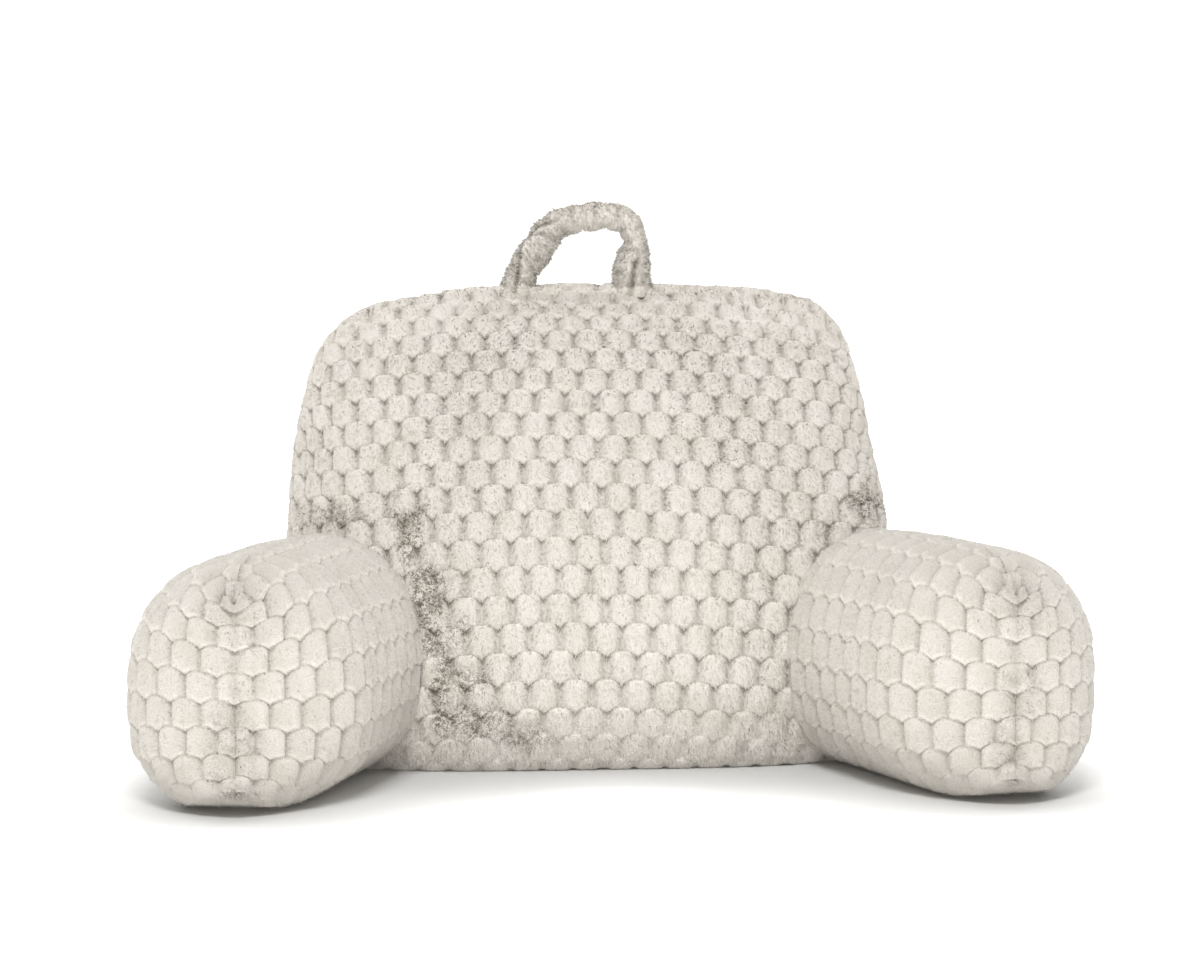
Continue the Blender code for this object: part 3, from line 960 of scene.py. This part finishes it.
strapGrid = makeStrap()
fasten(coverPiece("carry_loop", strapGrid), "handle")
strapPile = tufts("carry_loop_pile", strapGrid, counts["strap"], 81, downward, strap["pileLength"], upCloth,
                  lambda p: p[..., 2] > backHeight - 0.012)
fasten(strapPile)
print("carry loop made")


# ---- floor, lights and camera
sweep = {
    "front": -4.0,
    "bend": 3.0,  # where the curve up begins
    "radius": 1.5,
    "rise": 3.0,  # height of the upright part
    "half": 6.0,  # half the width
    "glow": 0.80,
    "contactShadowFalloff": 3.0,  # how fast the painted contact shadow dims the glow as the place gets less open
    "contactShadowReach": 0.16,  # how far off a thing still casts the painted contact shadow
}


def makeStage():
    # a pale paper floor that curves up behind: level, then a quarter circle, then upright
    angle = np.linspace(0, math.pi / 2, 16)
    rear = sweep["bend"] + sweep["radius"]
    y = np.concatenate([[sweep["front"]], sweep["bend"] + sweep["radius"] * np.sin(angle), [rear]])
    z = np.concatenate([[0.0], sweep["radius"] * (1 - np.cos(angle)), [sweep["radius"] + sweep["rise"]]])
    points = np.array([[x, y[k], z[k]] for k in range(len(y)) for x in (-sweep["half"], sweep["half"])])
    first = np.arange(len(y) - 1)[:, None] * 2
    corners = (first + np.array([[0, 1, 3, 2]])).ravel()
    paper = bpy.data.materials.new("matt paper sweep")
    paper.use_nodes = True
    tree = paper.node_tree
    shader = tree.nodes["Principled BSDF"]
    shader.inputs["Base Color"].default_value = linearColour(colours["floor"])
    shader.inputs["Roughness"].default_value = 0.9
    shader.inputs["Specular IOR Level"].default_value = 0.0
    shader.inputs["Emission Color"].default_value = (1.0, 1.0, 1.0, 1.0)
    # the paper glows, with a painted contact shadow: the glow is dimmed close to what stands on it
    openness = addNode(tree, "ShaderNodeAmbientOcclusion", {"samples": 8}, {"Distance": sweep["contactShadowReach"]})
    glow = addNode(tree, "ShaderNodeMath", {"operation": "POWER"}, {
        0: openness.outputs["AO"], 1: sweep["contactShadowFalloff"]})
    strength = addNode(tree, "ShaderNodeMath", {"operation": "MULTIPLY"}, {
        0: glow.outputs["Value"], 1: sweep["glow"]})
    tree.links.new(strength.outputs["Value"], shader.inputs["Emission Strength"])
    made = meshPiece("floor", points, corners, np.full(len(first), 4), {}, {}, paper)
    made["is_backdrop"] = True


def areaLight(name, place, target, size, power):
    # a rectangular softbox: size in metres, power in watts
    data = bpy.data.lights.new(name, "AREA")
    data.shape = "RECTANGLE"
    data.size, data.size_y = size
    data.energy = power
    made = bpy.data.objects.new(name, data)
    made.location = place
    aim(made, target)
    scene.collection.objects.link(made)


def aim(thing, target):
    # lights and cameras look along their own -Z
    thing.rotation_euler = (Vector(thing.location) - Vector(target)).to_track_quat("Z", "Y").to_euler()


makeStage()
middle = (lowCorner + highCorner) / 2
areaLight("key softbox", (-0.5, -3.4, 3.2), middle, (1.2, 0.8), 138)
areaLight("fill softbox", (-0.3, -4.4, 0.9), middle, (1.2, 1.0), 20)
areaLight("overhead softbox", (0.0, 1.2, 2.5), (0.0, 0.0, 0.0), (2.4, 1.2), 10)
areaLight("backdrop light left", (-2.6, 1.2, 2.6), (-1.0, 4.5, 1.0), (2.0, 1.0), 60)
areaLight("backdrop light right", (2.6, 1.2, 2.6), (1.0, 4.5, 1.0), (2.0, 1.0), 60)

world = bpy.data.worlds.new("studio")
world.use_nodes = True
world.node_tree.nodes["Background"].inputs["Color"].default_value = (1.0, 1.0, 1.0, 1.0)
world.node_tree.nodes["Background"].inputs["Strength"].default_value = 0.30
scene.world = world
scene.view_settings.view_transform = "Standard"

view = {
    "azimuth": -5.3,
    "elevation": 5.0,
    "distance": 2.8,
    "lens": 103.0,
    "aimOffset": (-0.0013, 0.0, 0.0055),
}
camera = bpy.data.objects.new("camera", bpy.data.cameras.new("camera"))
camera.data.lens = view["lens"]
turn, tilt = math.radians(view["azimuth"]), math.radians(view["elevation"])
target = middle + np.array(view["aimOffset"])
target[1] = 0.0
camera.location = target + view["distance"] * np.array(
    [math.sin(turn) * math.cos(tilt), -math.cos(turn) * math.cos(tilt), math.sin(tilt)])
aim(camera, target)
scene.collection.objects.link(camera)
scene.camera = camera
print("stage made")

meshes = [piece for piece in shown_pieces() if piece.type == "MESH"]
triangles = {piece.name: sum(len(face.vertices) - 2 for face in piece.data.polygons) for piece in meshes}
print("triangles", triangles, sum(triangles.values()))
